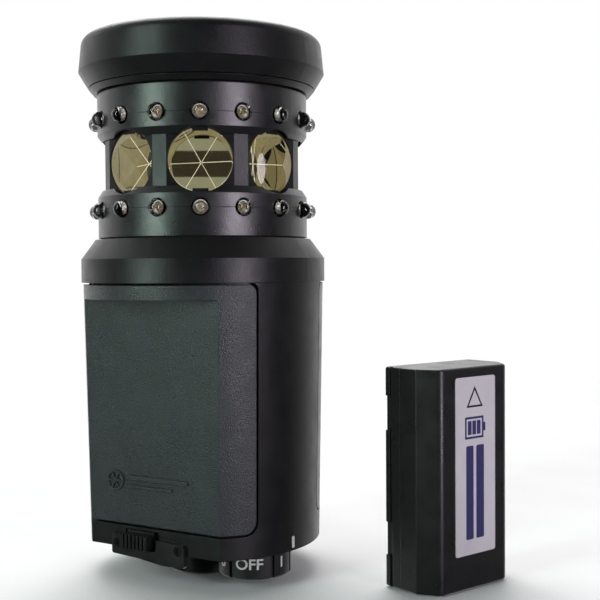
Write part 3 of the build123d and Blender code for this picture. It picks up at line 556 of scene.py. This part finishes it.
def cube_edges(place):
    """The narrow ground bevels along the three rear edges, which show as bright lines through a
    painted glow.
    """
    shape = bmesh.new()
    half = 0.05
    inside, thick = 0.10, 0.04
    start, reach = 0.12, glass_radius - 0.15
    for turn in (0, 120, 240):
        spin = (place @ Matrix.Translation((0, 0, glass_apex))
                @ Matrix.Rotation(radians(turn), 4, "Z"))
        corners = []
        for radius in (start, reach):
            low = radius / sqrt(2) + inside
            high = low + thick
            corners.append([spin @ Vector((radius, across, along)) for across, along in
                            ((-half, low), (half, low), (half, high), (-half, high))])
        near, far = ([shape.verts.new(corner) for corner in row] for row in corners)
        shape.faces.new(near)
        shape.faces.new(far[::-1])
        for step in range(4):
            after = (step + 1) % 4
            shape.faces.new((near[step], near[after], far[after], far[step]))
    return to_mesh("cube edges", shape)


def add_prisms():
    # The rim finish and the edge finish both carry a painted glow from emission.
    finishes = [prism_glass(), mirror_gold(), ground_rim_painted_glow()]
    ground = ground_edge_painted_glow()
    for number in range(1, prism_count + 1):
        azimuth = first_prism_azimuth + 360 / prism_count * (number - 1)
        place = radial_frame(azimuth, prism_height)
        cube = piece(f"prism_glass_{number}", corner_cube(place), finishes,
                     "instrument", 20)
        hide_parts(f"prism_{number}")
        piece(f"prism_edges_{number}", cube_edges(place), ground, "instrument")


def flat_letters(words, height):
    """A mesh of the words, centred on the origin, with capitals of the height given."""
    weight, widened = 0.016, 1.1
    curve = bpy.data.curves.new("letters", "FONT")
    curve.body = words
    curve.align_x = "CENTER"
    curve.size = 1
    curve.offset = weight
    holder = bpy.data.objects.new("letters", curve)
    bpy.context.scene.collection.objects.link(holder)
    bpy.context.view_layer.update()
    made = bpy.data.meshes.new_from_object(holder)
    bpy.data.objects.remove(holder)
    bpy.data.curves.remove(curve)
    lows = min(v.co.y for v in made.vertices)
    highs = max(v.co.y for v in made.vertices)
    scale = height / (highs - lows)
    for v in made.vertices:
        v.co = Vector((v.co.x * scale * widened, (v.co.y - (highs + lows) / 2) * scale, 0))
    return made


def wrapped_letters(words, azimuth, height, middle, radius):
    """Letters laid round the knob, split finely enough to follow its curve."""
    longest_edge = 0.5
    flat = flat_letters(words, height)
    shape = bmesh.new()
    shape.from_mesh(flat)
    bpy.data.meshes.remove(flat)
    bmesh.ops.triangulate(shape, faces=shape.faces)
    for _ in range(5):
        long_edges = [edge for edge in shape.edges if edge.calc_length() > longest_edge]
        if not long_edges:
            break
        bmesh.ops.subdivide_edges(shape, edges=long_edges, cuts=1)
        bmesh.ops.triangulate(shape, faces=shape.faces)
    for v in shape.verts:
        out = outward(azimuth + degrees(v.co.x / radius))
        v.co = (knob_centre + out * radius + Vector((0, 0, middle + v.co.y))) * mm
    return shape


def add_knob_numbers():
    paint = white_paint()
    letter_height, middle, proud = 3.5, 8.0, 0.03
    off_turned_back = 3
    for place, words in enumerate(knob_words):
        azimuth = knob_off_azimuth + place * 360 / len(knob_words)
        if words == "OFF":
            azimuth -= off_turned_back
        shape = wrapped_letters(words, azimuth, letter_height, middle, knob_radius + proud)
        mesh_data = bpy.data.meshes.new("numbers")
        shape.to_mesh(mesh_data)
        shape.free()
        piece(f"knob_number_{place}", mesh_data, paint, "selector")


def battery_frame():
    """Local x runs across the label, local y goes up and local z goes out of it."""
    return Matrix.Translation(battery_middle * mm) @ radial_frame(battery_angle, 0)


def outline_plate(shape, place, outer, inner, low, high):
    """A flat frame between two outlines with the same number of corners."""
    rows = [[shape.verts.new(place @ Vector((x, y, z))) for x, y in line]
            for line in (outer, inner) for z in (low, high)]
    outer_low, outer_high, inner_low, inner_high = rows
    count = len(outer)
    for step in range(count):
        after = (step + 1) % count
        for first, second in ((outer_low, outer_high), (outer_high, inner_high),
                              (inner_high, inner_low), (inner_low, outer_low)):
            shape.faces.new((first[step], first[after], second[after], second[step]))


def rounded_plate(shape, place, left, low, right, high, radius, back, front):
    """A flat plate with rounded corners."""
    corners = []
    for x, y, start in ((right - radius, high - radius, 0), (left + radius, high - radius, 90),
                        (left + radius, low + radius, 180), (right - radius, low + radius, 270)):
        for step in range(7):
            angle = radians(start + 15 * step)
            corners.append((x + radius * cos(angle), y + radius * sin(angle)))
    rows = [[shape.verts.new(place @ Vector((x, y, z))) for x, y in corners]
            for z in (back, front)]
    shape.faces.new(rows[1])
    shape.faces.new(rows[0][::-1])
    for step in range(len(corners)):
        after = (step + 1) % len(corners)
        shape.faces.new((rows[0][step], rows[0][after], rows[1][after], rows[1][step]))


def add_door_sign():
    """A ring with six spokes and two bars, moulded just proud of the door's leaning flat."""
    height = 33.0
    sunk, proud, spoke_proud = -0.3, 0.6, 0.55
    slope = door_flat_slope
    lean = 1 / sqrt(1 + slope * slope)
    turn = Matrix(((1, 0, 0), (0, -slope * lean, lean), (0, -lean, -slope * lean)))
    rise = height - door_flat_foot.z
    centre = Vector((0, door_flat_foot.y - rise * slope, height)) * mm
    place = Matrix.Translation(centre) @ turn.transposed().to_4x4() @ Matrix.Scale(mm, 4)
    shape = bmesh.new()
    ring = Vector((-15.2, 0, 0))
    ring_radius, ring_width = 3.4, 0.6
    hole_radius = ring_radius - ring_width
    circle = [(cos(tau * step / 48), sin(tau * step / 48)) for step in range(48)]
    outer, inner = ([(ring.x + radius * x, radius * y) for x, y in circle]
                    for radius in (ring_radius, hole_radius))
    outline_plate(shape, place, outer, inner, sunk, proud)
    for spoke in range(3):
        spin = place @ Matrix.Translation(ring) @ Matrix.Rotation(radians(60 * spoke), 4, "Z")
        reach = hole_radius + 0.1
        rounded_plate(shape, spin, -reach, -0.25, reach, 0.25, 0.1, sunk, spoke_proud)
    rounded_plate(shape, place, -10.4, 0.5, 14.4, 2.1, 0.6, sunk, proud)
    rounded_plate(shape, place, -10.4, -2.1, 8.0, -1.1, 0.38, sunk, proud)
    piece("door_sign", to_mesh("door sign", shape), grey_cover(), "battery_door",
          20)


def add_label_print():
    """Generic print on the battery label: an insertion arrow, a cell sign and two stripes."""
    place = battery_frame()
    half_print = 0.05
    back, front = battery_half_depth - half_print, battery_half_depth + half_print
    arrow = bmesh.new()
    outline_plate(arrow, place, [(-3.8, 22.6), (3.8, 22.6), (0, 29.3)],
                  [(-2.8, 23.2), (2.8, 23.2), (0, 28.1)], back, front)
    piece("label_arrow", to_mesh("arrow", arrow), label_ink("label black", (0.012, 0.012, 0.014)),
          "battery_pack", 20)
    sign = bmesh.new()
    outline_plate(sign, place, [(-4.5, 12.6), (4.1, 12.6), (4.1, 19.6), (-4.5, 19.6)],
                  [(-3.8, 13.3), (3.4, 13.3), (3.4, 18.9), (-3.8, 18.9)], back, front)
    rounded_plate(sign, place, 4.1, 14.7, 5.0, 17.5, 0.3, back, front)
    for left in (-3.2, -1.1, 1.0):
        rounded_plate(sign, place, left, 13.9, left + 1.7, 18.3, 0.2, back, front)
    for left, right in ((-4.0, -0.6), (0.7, 4.3)):
        rounded_plate(sign, place, left, -19.4, right, 10.4, 0.5, back, front)
    piece("label_sign", to_mesh("sign", sign), label_ink("label blue", (0.030, 0.026, 0.115)),
          "battery_pack", 20)


add_diodes()
add_prisms()
add_knob_numbers()
add_door_sign()
add_label_print()


# ---------------------------------------------------------- camera and light

def add_camera():
    """The camera, a little over the middle of the object and looking slightly down."""
    stand = Vector((0.22167, -0.30521, 0.10324))
    turn, pitch, roll = radians(camera_azimuth), radians(1.81), radians(0.393)
    right = Vector((cos(turn), sin(turn), 0))
    forward = Vector((-sin(turn) * cos(pitch), cos(turn) * cos(pitch), -sin(pitch)))
    up = right.cross(forward)
    across = cos(roll) * right - sin(roll) * up
    upward = sin(roll) * right + cos(roll) * up
    data = bpy.data.cameras.new("camera")
    data.lens = 65.49
    data.sensor_width = 36
    data.clip_start = 0.01
    made = bpy.data.objects.new("camera", data)
    bpy.context.scene.collection.objects.link(made)
    turned = Matrix((across, upward, -forward)).transposed().to_4x4()
    made.matrix_world = Matrix.Translation(stand) @ turned
    bpy.context.scene.camera = made
    return made


def area_lamp(name, outline, size, power, colour, place, aim):
    """A lamp at a place that shines along the direction given and isn't seen itself."""
    data = bpy.data.lights.new(name, "AREA")
    data.shape = outline
    data.size, data.size_y = size
    data.energy = power
    data.color = colour
    made = bpy.data.objects.new(name, data)
    bpy.context.scene.collection.objects.link(made)
    aimed = aim.to_track_quat("-Z", "Y").to_matrix().to_4x4()
    made.matrix_world = Matrix.Translation(place) @ aimed
    made.visible_camera = made.visible_transmission = False
    return made


def softbox(name, azimuth, distance, height, size, power, colour):
    """A soft rectangle of light aimed at the middle of the object."""
    middle = Vector((0, 0, 0.09))
    place = outward(azimuth) * distance + Vector((0, 0, height))
    area_lamp(name, "RECTANGLE", size, power, colour, place, middle - place)


def add_glint(camera):
    """A small lamp whose reflection shows on the front of the prism at the right."""
    distance = 0.45
    azimuth = first_prism_azimuth + 360 / prism_count
    spot = radial_frame(azimuth, prism_height) @ Vector((-4.4, -2.2, glass_face))
    normal = outward(azimuth)
    sight = (spot - camera.matrix_world.translation).normalized()
    bounced = sight - 2 * sight.dot(normal) * normal
    lamp = area_lamp("glint", "ELLIPSE", (0.006, 0.022), 0.0022, (1.0, 0.90, 0.94),
                     spot + bounced * distance, -bounced)
    lamp.visible_diffuse = False


def add_floor():
    """A pale disc just under the object that fades out into the white background."""
    fade_from, fade_to = 0.22, 0.7
    shape = bmesh.new()
    bmesh.ops.create_circle(shape, cap_ends=True, segments=64, radius=4.0)
    mesh_data = to_mesh("floor", shape)
    made = bpy.data.objects.new("floor", mesh_data)
    made.location.z = -0.0002
    bpy.context.scene.collection.objects.link(made)
    material, tree, surface = shader("floor")
    tone = blend_colours(tree, remap(tree, noise(tree, 60, 3), 0.35, 0.65, 0, 1),
                         (0.86, 0.86, 0.86), (0.9, 0.9, 0.9))
    tree.links.new(tone, surface.inputs["Base Color"])
    surface.inputs["Roughness"].default_value = 0.7
    where = tree.nodes.new("ShaderNodeTexCoord")
    away = tree.nodes.new("ShaderNodeVectorMath")
    away.operation = "LENGTH"
    tree.links.new(where.outputs["Object"], away.inputs[0])
    tree.links.new(remap(tree, away.outputs["Value"], fade_from, fade_to, 1, 0),
                   surface.inputs["Alpha"])
    mesh_data.materials.append(material)
    made.visible_glossy = False


def facing(tree, direction):
    """How far the ray's direction agrees with the one given, from -1 to 1."""
    where = tree.nodes.new("ShaderNodeTexCoord")
    dot = tree.nodes.new("ShaderNodeVectorMath")
    dot.operation = "DOT_PRODUCT"
    dot.inputs[1].default_value = direction
    tree.links.new(where.outputs["Generated"], dot.inputs[0])
    return dot.outputs["Value"]


def switched(tree, ray, otherwise):
    """An input and an output: for one kind of ray the output is what the input is given."""
    path = tree.nodes.new("ShaderNodeLightPath")
    made = tree.nodes.new("ShaderNodeMix")
    tree.links.new(path.outputs[ray], made.inputs["Factor"])
    tree.links.new(otherwise, made.inputs["A"])
    return made.inputs["B"], made.outputs["Result"]


def add_world():
    """White to the camera; otherwise bright behind the object and dark on the camera's side."""
    world = bpy.data.worlds.new("studio")
    bpy.context.scene.world = world
    world.use_nodes = True
    tree = world.node_tree
    sky = tree.nodes["Background"]
    sky.inputs["Color"].default_value = (1, 1, 1, 1)

    behind = -outward(camera_azimuth + 7) * 0.97 + Vector((0, 0, 0.24))
    around = remap(tree, facing(tree, behind.normalized()), -0.15, 0.90, 0.04, 1.15)
    around.node.interpolation_type = "SMOOTHSTEP"

    glass_sees, indirect = switched(tree, "Is Transmission Ray", around)
    ahead = facing(tree, outward(camera_azimuth))
    tree.links.new(remap(tree, ahead, 0.80, 0.97, 0.07, 0.34), glass_sees)

    camera_sees, strength = switched(tree, "Is Camera Ray", indirect)
    camera_sees.default_value = 1.0
    tree.links.new(strength, sky.inputs["Strength"])


def add_dark_card(camera):
    """A dark card at the camera, which only the glass of the prisms shows."""
    half_width, half_height, raised = 0.1, 0.0085, 0.0008
    shape = bmesh.new()
    place = camera.matrix_world @ Matrix.Translation((0, raised, 0))
    shape.faces.new([shape.verts.new(place @ Vector((x * half_width, y * half_height, 0)))
                     for x, y in ((-1, -1), (1, -1), (1, 1), (-1, 1))])
    mesh_data = to_mesh("dark card", shape)
    made = bpy.data.objects.new("dark_card", mesh_data)
    bpy.context.scene.collection.objects.link(made)
    material, tree, surface = shader("dark card")
    surface.inputs["Base Color"].default_value = (0.016, 0.010, 0.007, 1)
    surface.inputs["Roughness"].default_value = 0.8
    mesh_data.materials.append(material)
    made.visible_camera = made.visible_diffuse = made.visible_glossy = False
    made.visible_shadow = False


camera = add_camera()
add_world()
add_floor()
add_dark_card(camera)
add_glint(camera)
softbox("left softbox", camera_azimuth - 48, 0.9, 0.28, (0.22, 0.8), 4.4, (0.76, 1.0, 0.88))
softbox("right softbox", camera_azimuth + 40, 0.9, 0.14, (0.20, 0.56), 3.9, (0.95, 0.86, 1.0))
softbox("top softbox", camera_azimuth + 190, 0.8, 1.3, (1.2, 1.2), 16.0, (1.0, 1.0, 1.0))
bpy.context.scene.view_settings.view_transform = "Standard"
